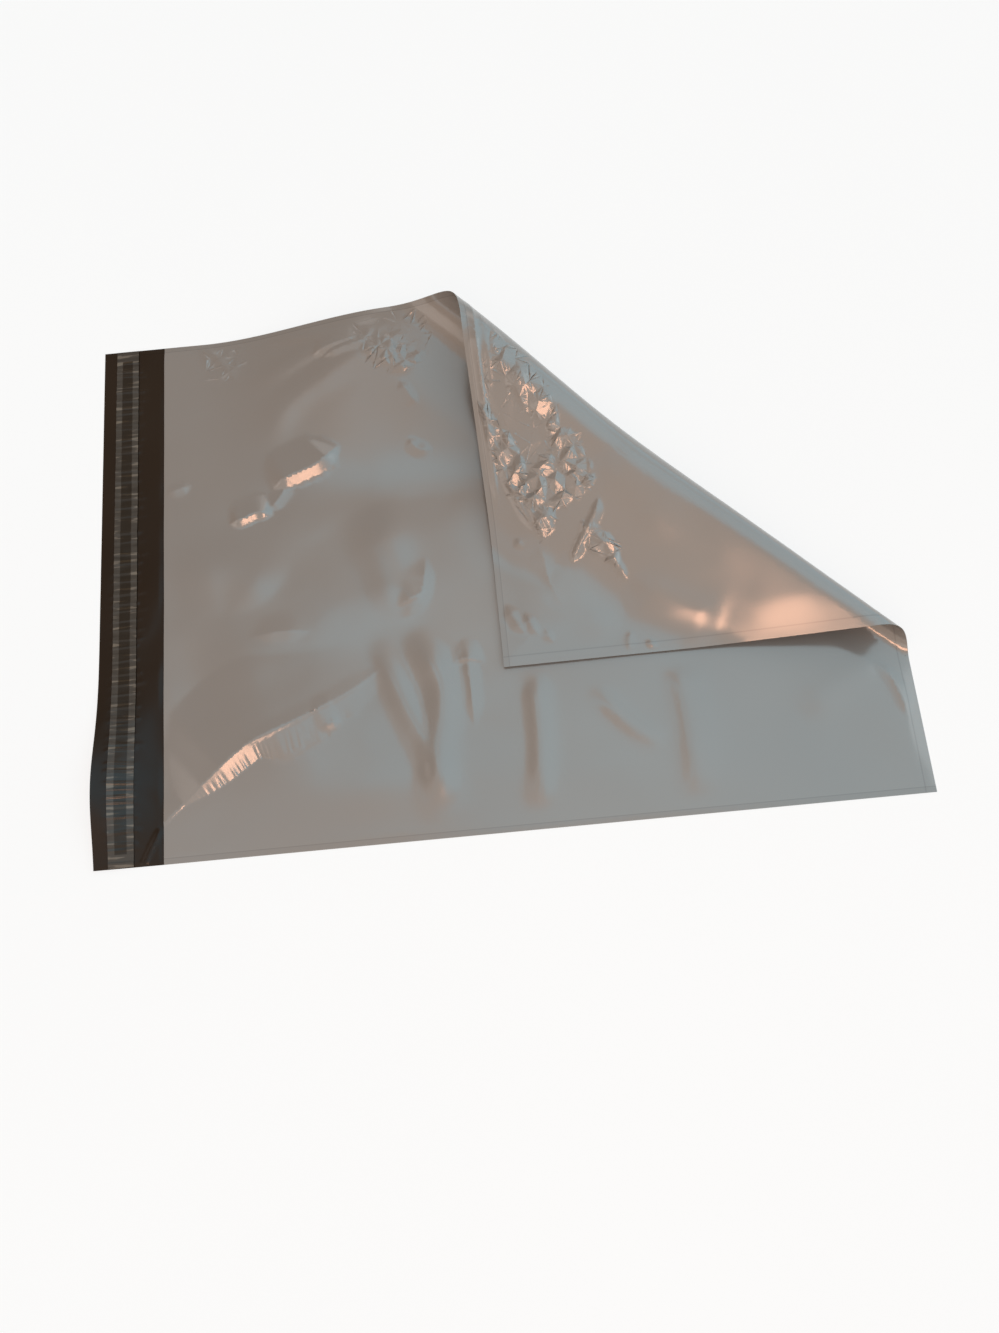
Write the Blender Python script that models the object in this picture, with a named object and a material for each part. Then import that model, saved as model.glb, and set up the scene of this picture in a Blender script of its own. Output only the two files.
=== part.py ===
"""Poly mailer bag: a folded, side-welded film bag with a self-seal lip.

The bag lies on its back panel with the lip at -X and its bottom fold at +X. Its far bottom
corner is turned back over the front in a soft rolled fold. Every piece is drawn flat first,
in the bag's own flat coordinates, and is then bent into place by one shared function, so
the strips on the lip always follow the film that carries them.

Flat coordinates: u runs from the mouth to the bottom fold (the lip is at u < 0), v runs from
the near side seam to the far one, and w is the height above the back panel's outer face.
"""

import math

import bmesh
import bpy
from mathutils import Vector
from mathutils.geometry import delaunay_2d_cdt

# Bag, measured flat
BODY_LENGTH = 0.525
BODY_WIDTH = 0.400
LIP_LENGTH = 0.047
FILM_THICKNESS = 0.00006
POCKET_GAP = 0.0003
SEAM_WIDTH = 0.004

# Closing strips on the lip
LINER_WIDTH = 0.017
LINER_THICKNESS = 0.00005
LINER_FROM_LIP_EDGE = 0.010
ADHESIVE_WIDTH = 0.012
ADHESIVE_THICKNESS = 0.0001
STRIP_END_MARGIN = 0.0005
TOUCH_GAP = 0.0003

# Turned corner: where its crest crosses the far seam and the bottom fold, and how it rolls.
# The roll is a cone, wide at the far seam and narrow at the bottom fold.
CREST_FROM_MOUTH = 0.214
CREST_FROM_NEAR_SEAM = 0.106
ROLL_RADIUS_AT_SEAM = 0.024
ROLL_RADIUS_AT_BOTTOM = 0.010
FLAP_SLOPE = 0.38
EASE_PER_ROLL_RADIUS = 5.0
FLAP_CLEARANCE = 0.004

# Far seam, which the springy fold lifts off the surface
FAR_LIFT = 0.026
FAR_LIFT_DEPTH = 0.150
FAR_LIFT_START = 0.030
FAR_LIFT_FULL = 0.190
FAR_LIFT_FADE_START = 0.260
FAR_LIFT_FADE_END = 0.480
FAR_LIFT_LEFT_OVER = 0.15

# Lip edge, which curls up close to its near end
LIP_CURL = 0.011
LIP_CURL_FROM_NEAR_SEAM = 0.055
LIP_CURL_SPREAD = 0.045

# Long crease of the front panel: its ridge is a bow in flat coordinates, and the panel slopes
# down from it gently to the far side and steeply to the near side
CREASE_START = (0.004, 0.030)
CREASE_BOW = (0.062, 0.086)
CREASE_END = (0.154, 0.121)
CREASE_HEIGHT = 0.005
CREASE_FAR_SLOPE = 0.060
CREASE_NEAR_SLOPE = 0.017

# Fineness of the bent surfaces
ROLL_STEPS = 14
EASE_STEPS = 3
CREASE_STEPS = 4
LIFT_STEP = 0.040
LIP_STEP = 0.013
SAMPLE_STEP = 0.0002
CUT_TOLERANCE = 1e-7

# Colours, in linear light, and roughness
GREY_FILM = (0.245, 0.225, 0.210)
GREY_FILM_ROUGHNESS = 0.30
ADHESIVE_AMBER = (0.050, 0.040, 0.028)
ADHESIVE_ROUGHNESS = 0.35
LINER_SMOKE = (0.060, 0.053, 0.047)
LINER_ROUGHNESS = 0.25


def smooth_step(value, start, end):
    """0 before start, 1 after end, and an even S curve between them."""
    share = min(max((value - start) / (end - start), 0.0), 1.0)
    return share * share * (3.0 - 2.0 * share)


def crest_cone():
    """The cone that the corner is rolled on: its tip, the way from the tip back along the crest,
    the way across towards the turned corner, and the angle that one roll radius spans from the tip."""
    at_far_seam = Vector((CREST_FROM_MOUTH, BODY_WIDTH))
    at_bottom = Vector((BODY_LENGTH, CREST_FROM_NEAR_SEAM))
    crest = at_far_seam - at_bottom
    along = crest.normalized()
    spread = (ROLL_RADIUS_AT_SEAM - ROLL_RADIUS_AT_BOTTOM) / crest.length
    tip = at_bottom - along * (ROLL_RADIUS_AT_BOTTOM / spread)
    across = Vector((along.y, -along.x))
    return tip, along, across, spread


def roll_stages():
    """Where rolled film of radius 1 leaves the roll, its straight run and its ease onto the bag."""
    turn = math.pi + FLAP_SLOPE
    ease_drop = EASE_PER_ROLL_RADIUS * (1.0 - math.cos(FLAP_SLOPE))
    straight = (1.0 + math.cos(FLAP_SLOPE) - ease_drop) / math.sin(FLAP_SLOPE)
    return turn, turn + straight, turn + straight + EASE_PER_ROLL_RADIUS * FLAP_SLOPE


def roll_section(distance):
    """Reach and height of film rolled at radius 1, at a distance past the start of the roll."""
    roll_end, straight_end, ease_end = roll_stages()
    if distance <= 0.0:
        return distance, 0.0
    turned = min(distance, roll_end)
    reach = math.sin(turned)
    height = 1.0 - math.cos(turned)
    run = min(distance, straight_end) - roll_end
    if run > 0.0:
        reach -= run * math.cos(FLAP_SLOPE)
        height -= run * math.sin(FLAP_SLOPE)
    if distance > straight_end:
        left = FLAP_SLOPE - (min(distance, ease_end) - straight_end) / EASE_PER_ROLL_RADIUS
        reach -= EASE_PER_ROLL_RADIUS * (math.sin(FLAP_SLOPE) - math.sin(left))
        height -= EASE_PER_ROLL_RADIUS * (math.cos(left) - math.cos(FLAP_SLOPE))
    return reach - max(distance - ease_end, 0.0), height


def surface_lift(x, y):
    """Height of the surface above its support, over a point of the bag's footprint."""
    lost = (1.0 - FAR_LIFT_LEFT_OVER) * smooth_step(x, FAR_LIFT_FADE_START, FAR_LIFT_FADE_END)
    along_seam = smooth_step(x, FAR_LIFT_START, FAR_LIFT_FULL) * (1.0 - lost)
    far = FAR_LIFT * along_seam * smooth_step(y, BODY_WIDTH - FAR_LIFT_DEPTH, BODY_WIDTH)
    from_curl = (y - LIP_CURL_FROM_NEAR_SEAM) / LIP_CURL_SPREAD
    lip = LIP_CURL * max(-x / LIP_LENGTH, 0.0) ** 1.5 * math.exp(-from_curl * from_curl)
    return far + lip


def from_roll_start(u, v):
    """A flat point's distance from the cone's tip, and its roll radii past the roll's start."""
    tip, along, across, spread = crest_cone()
    offset = Vector((u, v)) - tip
    angle = math.atan2(offset.dot(across), offset.dot(along))
    return offset.length, angle / spread + 1.0


def bend(u, v):
    """Where a point of the flat back panel comes to lie, with the origin under the middle."""
    tip, along, across, spread = crest_cone()
    from_tip, distance = from_roll_start(u, v)
    reach, height = roll_section(distance)
    angle = (reach - 1.0) * spread
    plan = tip + (along * math.cos(angle) + across * math.sin(angle)) * from_tip
    height *= from_tip * spread
    height += FLAP_CLEARANCE * smooth_step(distance, 0.0, roll_stages()[0])
    height += surface_lift(plan.x, plan.y)
    middle_x = (BODY_LENGTH - LIP_LENGTH) / 2.0
    return Vector((plan.x - middle_x, plan.y - BODY_WIDTH / 2.0, height))


def bend_point(point):
    """Place of a point at height w above the bent back panel."""
    u, v, w = point
    along_u = bend(u + SAMPLE_STEP, v) - bend(u - SAMPLE_STEP, v)
    along_v = bend(u, v + SAMPLE_STEP) - bend(u, v - SAMPLE_STEP)
    return bend(u, v) + along_u.cross(along_v).normalized() * w


def even_stations(start, end, step):
    """Evenly spread places between two ends, the ends left out."""
    count = max(int(round((end - start) / step)), 1)
    return [start + (end - start) * index / count for index in range(1, count)]


def cut(mesh, point, normal, keep=None):
    """Cuts edges into the faces along an upright plane, where keep says so."""
    faces = [face for face in mesh.faces if keep is None or keep(face.calc_center_median())]
    edges = {edge for face in faces for edge in face.edges}
    verts = {vert for face in faces for vert in face.verts}
    bmesh.ops.bisect_plane(
        mesh,
        geom=list(verts) + list(edges) + faces,
        dist=CUT_TOLERANCE,
        plane_co=(point[0], point[1], 0.0),
        plane_no=(normal[0], normal[1], 0.0),
    )


def cut_along_roll(mesh):
    """Cuts along the cone's own straight lines, that let the film roll and ease onto the bag."""
    tip, along, across, spread = crest_cone()
    roll_end, straight_end, ease_end = roll_stages()
    stations = [roll_end * step / ROLL_STEPS for step in range(ROLL_STEPS + 1)]
    ease = ease_end - straight_end
    stations += [straight_end + ease * step / EASE_STEPS for step in range(EASE_STEPS + 1)]
    for distance in stations:
        angle = (distance - 1.0) * spread
        cut(mesh, tip, across * math.cos(angle) - along * math.sin(angle))


def cut_lifted_area(mesh):
    """A grid where the far seam rises, and over the turned corner that rises with it."""
    flat_depth = BODY_WIDTH - FAR_LIFT_DEPTH
    cut(mesh, (0.0, flat_depth), (0.0, 1.0), keep=lambda centre: centre.x > 0.0)

    def lifted(centre):
        turned = from_roll_start(centre.x, centre.y)[1] > 0.0
        return centre.x > 0.0 and (centre.y > flat_depth or turned)

    def lifted_off_roll(centre):
        on_roll = 0.0 < from_roll_start(centre.x, centre.y)[1] < roll_stages()[0]
        return lifted(centre) and not on_roll

    for u in even_stations(FAR_LIFT_START - LIFT_STEP, BODY_LENGTH, LIFT_STEP):
        cut(mesh, (u, 0.0), (1.0, 0.0), keep=lifted)
    for v in even_stations(CREST_FROM_NEAR_SEAM, BODY_WIDTH, LIFT_STEP):
        cut(mesh, (0.0, v), (0.0, 1.0), keep=lifted)
    split_to_centre(mesh, lifted_off_roll)


def strip_outer_edges():
    """Where the liner and the adhesive begin, counted from the mouth; the adhesive lies centred."""
    liner_edge = LINER_FROM_LIP_EDGE - LIP_LENGTH
    return liner_edge, liner_edge + (LINER_WIDTH - ADHESIVE_WIDTH) / 2.0


def cut_lip(mesh):
    """A grid over the lip, so that its edge can curl, with lines along the edges of its strips."""
    for v in even_stations(0.0, BODY_WIDTH, LIP_STEP):
        cut(mesh, (0.0, v), (0.0, 1.0), keep=lambda centre: centre.x < 0.0)
    liner_edge, adhesive_edge = strip_outer_edges()
    liner_end = liner_edge + LINER_WIDTH
    edges = [liner_edge, adhesive_edge, adhesive_edge + ADHESIVE_WIDTH, liner_end]
    for u in edges + even_stations(liner_end, 0.0, LIP_STEP):
        cut(mesh, (u, 0.0), (1.0, 0.0), keep=lambda centre: centre.x < 0.0)
    split_to_centre(mesh, lambda centre: centre.x < 0.0)


def split_to_centre(mesh, wanted):
    """Splits level faces into triangles that meet at their middle, alike on every layer of film."""
    level = [face for face in mesh.faces if abs(face.normal.z) > 0.5]
    faces = [face for face in level if wanted(face.calc_center_median())]
    bmesh.ops.poke(mesh, faces=faces, center_mode="MEAN")


def on_crease(share):
    """A place on the long crease's ridge, and the way across it to the far side."""
    start, bow, end = (Vector(place) for place in (CREASE_START, CREASE_BOW, CREASE_END))
    place = start * (1.0 - share) ** 2 + bow * 2.0 * share * (1.0 - share) + end * share**2
    along = ((bow - start) * (1.0 - share) + (end - bow) * share).normalized()
    return place, Vector((-along.y, along.x))


def crease_lines():
    """The long crease's ridge and the two feet of its slopes, each a line of (u, v, rise)."""
    ridge, near_foot, far_foot = [], [], []
    for step in range(1, CREASE_STEPS):
        share = step / CREASE_STEPS
        place, across = on_crease(share)
        part = math.sin(math.pi * share)
        ridge.append((*place, CREASE_HEIGHT * part))
        near_foot.append((*(place - across * CREASE_NEAR_SLOPE * part), 0.0))
        far_foot.append((*(place + across * CREASE_FAR_SLOPE * part), 0.0))
    return ridge, near_foot, far_foot


def raise_crease(mesh):
    """Splits both faces of the front panel along the long crease's lines and raises its ridge."""
    middle = on_crease(0.5)[0]

    def holds_crease(face):
        corners = [vert.co for vert in face.verts]
        low = [min(corner[axis] for corner in corners) for axis in range(3)]
        high = [max(corner[axis] for corner in corners) for axis in range(3)]
        over_pocket = low[2] > FILM_THICKNESS + POCKET_GAP / 2.0
        return over_pocket and all(low[axis] < middle[axis] < high[axis] for axis in range(2))

    for face in [face for face in mesh.faces if abs(face.normal.z) > 0.5 and holds_crease(face)]:
        under = face.verts[0].co.z
        verts = list(face.verts)
        border = [list(range(len(verts)))]
        ends = [len(verts), len(verts) + 1]
        verts += [mesh.verts.new((*place, under)) for place in (CREASE_START, CREASE_END)]
        lines = []
        for line in crease_lines():
            chain = [ends[0], *range(len(verts), len(verts) + len(line)), ends[1]]
            verts += [mesh.verts.new((u, v, under + rise)) for u, v, rise in line]
            lines += zip(chain, chain[1:])
        places = [vert.co.xy for vert in verts]
        made = delaunay_2d_cdt(places, lines, border, 1, CUT_TOLERANCE)
        mesh.faces.remove(face)
        for triangle in made[2]:
            mesh.faces.new([verts[made[3][index][0]] for index in triangle])


def flat_film():
    """The whole film drawn flat: lip, back panel, bottom fold, front panel and side welds."""
    back_top = FILM_THICKNESS
    front_under = FILM_THICKNESS + POCKET_GAP
    front_top = 2.0 * FILM_THICKNESS + POCKET_GAP
    fold_inside = BODY_LENGTH - FILM_THICKNESS
    section = {
        "lip_under": (-LIP_LENGTH, 0.0),
        "mouth_under": (0.0, 0.0),
        "bottom_under": (BODY_LENGTH, 0.0),
        "bottom_top": (BODY_LENGTH, front_top),
        "mouth_top": (0.0, front_top),
        "mouth_back": (0.0, back_top),
        "lip_top": (-LIP_LENGTH, back_top),
        "mouth_front": (0.0, front_under),
        "pocket_roof": (fold_inside, front_under),
        "pocket_floor": (fold_inside, back_top),
    }
    across = [0.0, SEAM_WIDTH, BODY_WIDTH - SEAM_WIDTH, BODY_WIDTH]
    mesh = bmesh.new()
    points = {
        (name, station): mesh.verts.new((u, across[station], w))
        for name, (u, w) in section.items()
        for station in range(len(across))
        if station in (1, 2) or name not in ("mouth_front", "pocket_roof", "pocket_floor")
    }

    def strip(first, second, start):
        mesh.faces.new((
            points[first, start], points[second, start],
            points[second, start + 1], points[first, start + 1],
        ))

    outside = [
        "mouth_back", "lip_top", "lip_under", "mouth_under", "bottom_under", "bottom_top", "mouth_top",
    ]
    pocket = ["mouth_top", "mouth_front", "pocket_roof", "pocket_floor", "mouth_back"]
    for start in range(len(across) - 1):
        for first, second in zip(outside, outside[1:]):
            strip(first, second, start)
    for first, second in zip(pocket, pocket[1:]):
        strip(first, second, 1)
    for end, seam in ((0, 1), (3, 2)):
        mesh.faces.new([points[name, end] for name in ("lip_under", "mouth_under", "mouth_back", "lip_top")])
        mesh.faces.new([
            points[name, end]
            for name in ("mouth_under", "bottom_under", "bottom_top", "mouth_top", "mouth_back")
        ])
        mesh.faces.new([
            points[name, seam]
            for name in ("mouth_back", "pocket_floor", "pocket_roof", "mouth_front")
        ])
        mesh.faces.new([
            points["mouth_top", end], points["mouth_top", seam], points["mouth_front", seam],
            points["mouth_back", seam], points["mouth_back", end],
        ])
    mesh.normal_update()
    return mesh


def flat_strip(outer_edge, width, under, thickness):
    """A strip drawn flat on the lip, from close to one side of the bag to close to the other."""
    length = BODY_WIDTH - 2.0 * STRIP_END_MARGIN
    mesh = bmesh.new()
    bmesh.ops.create_cube(mesh, size=1.0)
    for vert in mesh.verts:
        vert.co.x = outer_edge + width * (vert.co.x + 0.5)
        vert.co.y = BODY_WIDTH / 2.0 + length * vert.co.y
        vert.co.z = under + thickness * (vert.co.z + 0.5)
    mesh.normal_update()
    cut_lip(mesh)
    return mesh


def make_object(name, mesh, colour, roughness):
    """Bends a flat mesh into place and makes it an object with its own material."""
    bmesh.ops.triangulate(mesh, faces=mesh.faces[:])
    for vert in mesh.verts:
        vert.co = bend_point(vert.co)
    bmesh.ops.recalc_face_normals(mesh, faces=mesh.faces[:])
    data = bpy.data.meshes.new(name)
    mesh.to_mesh(data)
    mesh.free()
    data.shade_smooth()
    material = bpy.data.materials.new(name)
    material.use_nodes = True
    shader = material.node_tree.nodes["Principled BSDF"]
    shader.inputs["Base Color"].default_value = (*colour, 1.0)
    shader.inputs["Roughness"].default_value = roughness
    shader.inputs["Metallic"].default_value = 0.0
    data.materials.append(material)
    piece = bpy.data.objects.new(name, data)
    bpy.context.scene.collection.objects.link(piece)


def make_film():
    mesh = flat_film()
    cut_along_roll(mesh)
    cut_lifted_area(mesh)
    cut_lip(mesh)
    raise_crease(mesh)
    make_object("mailer_film", mesh, GREY_FILM, GREY_FILM_ROUGHNESS)


def make_adhesive():
    under = FILM_THICKNESS + TOUCH_GAP
    mesh = flat_strip(strip_outer_edges()[1], ADHESIVE_WIDTH, under, ADHESIVE_THICKNESS)
    make_object("adhesive_strip", mesh, ADHESIVE_AMBER, ADHESIVE_ROUGHNESS)


def make_liner():
    under = FILM_THICKNESS + ADHESIVE_THICKNESS + 2.0 * TOUCH_GAP
    mesh = flat_strip(strip_outer_edges()[0], LINER_WIDTH, under, LINER_THICKNESS)
    make_object("release_liner", mesh, LINER_SMOKE, LINER_ROUGHNESS)


def main():
    for old in list(bpy.data.objects):
        bpy.data.objects.remove(old, do_unlink=True)
    make_film()
    make_adhesive()
    make_liner()


main()
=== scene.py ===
"""Poly mailer bag: the looks of the folded film bag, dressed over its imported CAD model.

Every sheet is drawn flat in the bag's own coordinates, wrinkled there, and bent into place by the
same roll as the CAD film. Flat coordinates: u runs from the mouth to the bottom fold (the lip is
at u < 0), v runs from the near side seam to the far one, w is the height above the outer face of
the back panel. Lengths are in metres.
"""

import math

import bpy
import numpy as np
from mathutils import Matrix, Vector
from mathutils.geometry import delaunay_2d_cdt


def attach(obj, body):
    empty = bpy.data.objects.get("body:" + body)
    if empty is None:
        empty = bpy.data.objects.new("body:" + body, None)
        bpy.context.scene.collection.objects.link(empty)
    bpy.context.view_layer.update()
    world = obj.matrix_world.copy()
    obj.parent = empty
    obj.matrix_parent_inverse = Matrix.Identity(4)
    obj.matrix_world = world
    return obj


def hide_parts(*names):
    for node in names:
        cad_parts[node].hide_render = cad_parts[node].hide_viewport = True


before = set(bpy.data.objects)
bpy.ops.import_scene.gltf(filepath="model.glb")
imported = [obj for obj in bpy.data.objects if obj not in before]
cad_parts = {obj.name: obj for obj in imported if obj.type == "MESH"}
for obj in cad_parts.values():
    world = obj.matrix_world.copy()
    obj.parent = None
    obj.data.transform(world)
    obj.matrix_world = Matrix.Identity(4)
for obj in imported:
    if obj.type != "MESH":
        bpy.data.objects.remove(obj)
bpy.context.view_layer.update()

MM = 0.001

# Bag, measured flat
BODY_LENGTH = 0.525
BODY_WIDTH = 0.400
LIP_LENGTH = 0.047
FILM_THICKNESS = 0.00006
POCKET_GAP = 0.0003
SEAM_WIDTH = 0.004

# Closing strips on the lip
LINER_OUTER_EDGE = -0.037
LINER_WIDTH = 0.017
LINER_THICKNESS = 0.00005
ADHESIVE_OUTER_EDGE = -0.0345
ADHESIVE_WIDTH = 0.012
ADHESIVE_THICKNESS = 0.0001
STRIP_END_MARGIN = 0.0005
TOUCH_GAP = 0.0003

# Turned corner
CREST_FROM_MOUTH = 0.214
CREST_FROM_NEAR_SEAM = 0.106
ROLL_RADIUS_AT_SEAM = 0.024
ROLL_RADIUS_AT_BOTTOM = 0.010
FLAP_SLOPE = 0.38
EASE_PER_ROLL_RADIUS = 5.0
FLAP_CLEARANCE = 0.004

# Far seam and lip edge, which stand off the surface
FAR_LIFT = 0.026
FAR_LIFT_DEPTH = 0.150
FAR_LIFT_START = 0.030
FAR_LIFT_FULL = 0.190
FAR_LIFT_FADE_START = 0.260
FAR_LIFT_FADE_END = 0.480
FAR_LIFT_LEFT_OVER = 0.15
LIP_CURL = 0.011
LIP_CURL_FROM_NEAR_SEAM = 0.055
LIP_CURL_SPREAD = 0.045
SAMPLE_STEP = 0.0002

# Fineness of the visible sheets. The grid starts with the smallest step, which may double a few
# times. Beside a crease the step is small, and it grows further away. The crease's own points stand
# in a strip that is free of grid points.
FINE_STEP = 0.0007
COARSEST_LEVEL = 3
STEP_AT_CREASE = 0.0015
STEP_GROWTH = 0.22
FINE_REACH = 0.002
FREE_STRIP = 0.0005
STEP_ON_CREASE = 0.0014
GRID_SHIFT = 0.28
OPEN_STEP = 0.0029
HIDDEN_STEP = 0.0056
STREAK_STEP = 0.0008
LIP_STEP = 0.0015
STRIP_STEPS = (0.0017, 0.0005)
SAME_POINT = 1e-6
SHARP_ANGLE = math.radians(70.0)

# Seeds of the grid's shifts, the long crease's streaks and the liner's puckers
FRONT_SEED = 20
BACK_SEED = 22
STREAK_SEED = 5
STREAK_VALUES = 512
RUNG_SEED = 11

# Creases
RIPPLE_LENGTH = 1.7 * MM
LINE_STEP = 3.0 * MM
FAR_AWAY = 1.0
WIDTH_AT_FADED_END = 0.35
SHARE_OF_LOWER_CREASE = 0.45

# Crushed film: how far its nodes stray from even spacing, as a share of it, and how high they are
NODE_SHIFT = 0.45
NODE_HEIGHT_POWER = 1.6
RIDGE_SHIFT = 0.28
ROW_NODE_SHIFT = 0.38
VALLEY_AFTER_RIDGE = (0.8, 1.15)
RIDGE_HEIGHTS = (0.8, 1.1)
VALLEY_HEIGHTS = (0.0, 0.15)

# Slow waves: height, length and seed
FRONT_WAVES = [(1.1 * MM, 0.150, 3), (0.35 * MM, 0.050, 4)]
CORNER_WAVES = [(1.5 * MM, 0.120, 5), (0.25 * MM, 0.045, 6)]
LIP_WAVES = [(0.5 * MM, 0.040, 8)]

# How far in from the edges, and from the near seam, the wrinkles reach their full height
FRONT_SHARP_EASE = (0.006, 0.008)
FRONT_SOFT_EASE = (0.012, 0.045)
CORNER_SHARP_EASE = (0.005, 0.005)
CORNER_SOFT_EASE = (0.030, 0.030)

# Fine puckers across the liner
FIRST_RUNG = 0.004
LAST_RUNG = BODY_WIDTH - 0.003
RUNG_HEIGHTS = (0.25, 0.6)
RUNG_WIDTHS = (0.6, 1.3)
RUNG_PAST_LINER = (0.001, 0.010)
RUNG_LEAN = 0.05
RUNG_SPACINGS = [0.0045, 0.007, 0.009, 0.012]

# Materials
LINER_END = 0.009
LINER_END_EDGE = 0.0008
FILM_IOR = 1.5

# How much of the floor is plain white where it is seen; the rest takes the light and the shadow
SEEN_WHITE = 0.75
FLOOR_REACH = 6.0
FLOOR_DROP = 0.0002

# Camera at the photograph's view
CAMERA_TARGET = Vector((-0.00065, -0.0836, 0.0))
CAMERA_DISTANCE = 0.6818
CAMERA_TURN = math.radians(-0.06)
CAMERA_RISE = math.radians(74.64)
CAMERA_ROLL = math.radians(-5.34)
CAMERA_LENS = 26.0

# Lamps: place, size, power and colour. All of them aim at the middle of the bag.
PANEL_SIZE = (1.2, 1.0)
LAMPS = {
    "panel_left": ((-1.5, -0.2, 1.1), PANEL_SIZE, 2.0, (1.0, 0.96, 0.93)),
    "panel_right": ((1.5, -0.2, 1.1), PANEL_SIZE, 2.0, (0.93, 0.98, 1.0)),
    "panel_far": ((0.0, 1.7, 1.1), PANEL_SIZE, 2.0, (0.95, 0.98, 1.0)),
    "panel_near": ((0.0, -1.7, 1.1), PANEL_SIZE, 2.0, (1.0, 0.98, 0.96)),
    "window_warm": ((0.05, -0.72, 1.12), (0.32, 0.32), 2.1, (1.0, 0.54, 0.35)),
}


def smooth_step(value, start, end):
    """0 before start, 1 after end, and an even S curve between them."""
    share = np.clip((value - start) / (end - start), 0.0, 1.0)
    return share * share * (3.0 - 2.0 * share)


def crest_cone():
    """The cone that the corner is rolled on: its tip, the ways along and across it, its spread."""
    at_far_seam = np.array((CREST_FROM_MOUTH, BODY_WIDTH))
    at_bottom = np.array((BODY_LENGTH, CREST_FROM_NEAR_SEAM))
    crest = at_far_seam - at_bottom
    length = np.hypot(*crest)
    along = crest / length
    spread = (ROLL_RADIUS_AT_SEAM - ROLL_RADIUS_AT_BOTTOM) / length
    tip = at_bottom - along * (ROLL_RADIUS_AT_BOTTOM / spread)
    across = np.array((along[1], -along[0]))
    return tip, along, across, spread


def roll_stages():
    """Where film rolled at radius 1 leaves the roll, its straight run and its ease onto the bag."""
    turn = math.pi + FLAP_SLOPE
    ease_drop = EASE_PER_ROLL_RADIUS * (1.0 - math.cos(FLAP_SLOPE))
    straight = (1.0 + math.cos(FLAP_SLOPE) - ease_drop) / math.sin(FLAP_SLOPE)
    return turn, turn + straight, turn + straight + EASE_PER_ROLL_RADIUS * FLAP_SLOPE


def roll_section(distance):
    """Reach and height of film rolled at radius 1, at a distance past the start of the roll."""
    roll_end, straight_end, ease_end = roll_stages()
    turned = np.clip(distance, 0.0, roll_end)
    reach = np.sin(turned) + np.minimum(distance, 0.0)
    height = 1.0 - np.cos(turned)
    run = np.clip(distance, roll_end, straight_end) - roll_end
    reach = reach - run * math.cos(FLAP_SLOPE)
    height = height - run * math.sin(FLAP_SLOPE)
    eased = np.clip(distance, straight_end, ease_end) - straight_end
    left = FLAP_SLOPE - eased / EASE_PER_ROLL_RADIUS
    reach = reach - EASE_PER_ROLL_RADIUS * (math.sin(FLAP_SLOPE) - np.sin(left))
    height = height - EASE_PER_ROLL_RADIUS * (np.cos(left) - math.cos(FLAP_SLOPE))
    return reach - np.maximum(distance - ease_end, 0.0), height


def surface_lift(x, y):
    """Height of the surface above its support, over a point of the bag's footprint."""
    lost = (1.0 - FAR_LIFT_LEFT_OVER) * smooth_step(x, FAR_LIFT_FADE_START, FAR_LIFT_FADE_END)
    along_seam = smooth_step(x, FAR_LIFT_START, FAR_LIFT_FULL) * (1.0 - lost)
    far = FAR_LIFT * along_seam * smooth_step(y, BODY_WIDTH - FAR_LIFT_DEPTH, BODY_WIDTH)
    from_curl = (y - LIP_CURL_FROM_NEAR_SEAM) / LIP_CURL_SPREAD
    lip = LIP_CURL * np.maximum(-x / LIP_LENGTH, 0.0) ** 1.5 * np.exp(-from_curl * from_curl)
    return far + lip


def from_roll_start(u, v):
    """A flat point's distance from the cone's tip, and how many roll radii it lies past the start
    of the roll."""
    tip, along, across, spread = crest_cone()
    du = u - tip[0]
    dv = v - tip[1]
    angle = np.arctan2(du * across[0] + dv * across[1], du * along[0] + dv * along[1])
    return np.hypot(du, dv), angle / spread + 1.0


def bend(u, v):
    """Where points of the flat back panel come to lie, with the origin under the middle."""
    tip, along, across, spread = crest_cone()
    from_tip, distance = from_roll_start(u, v)
    reach, height = roll_section(distance)
    angle = (reach - 1.0) * spread
    x = tip[0] + (along[0] * np.cos(angle) + across[0] * np.sin(angle)) * from_tip
    y = tip[1] + (along[1] * np.cos(angle) + across[1] * np.sin(angle)) * from_tip
    z = height * from_tip * spread
    z = z + FLAP_CLEARANCE * smooth_step(distance, 0.0, roll_stages()[0])
    z = z + surface_lift(x, y)
    middle_x = (BODY_LENGTH - LIP_LENGTH) / 2.0
    return np.stack((x - middle_x, y - BODY_WIDTH / 2.0, z), axis=-1)


def bend_points(u, v, w):
    """Places of points at height w above the bent back panel."""
    along_u = bend(u + SAMPLE_STEP, v) - bend(u - SAMPLE_STEP, v)
    along_v = bend(u, v + SAMPLE_STEP) - bend(u, v - SAMPLE_STEP)
    normal = np.cross(along_u, along_v)
    normal /= np.linalg.norm(normal, axis=-1, keepdims=True)
    return bend(u, v) + normal * w[..., None]


def uneven_line(place):
    """Seeded unevenness between -1 and 1 along a line, with a random value at each whole step."""
    values = np.random.default_rng(STREAK_SEED).uniform(-1.0, 1.0, STREAK_VALUES)
    low = np.floor(place).astype(int)
    part = place - low
    part = part * part * (3.0 - 2.0 * part)
    here = values[low % STREAK_VALUES]
    following = values[(low + 1) % STREAK_VALUES]
    return here * (1.0 - part) + following * part


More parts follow.
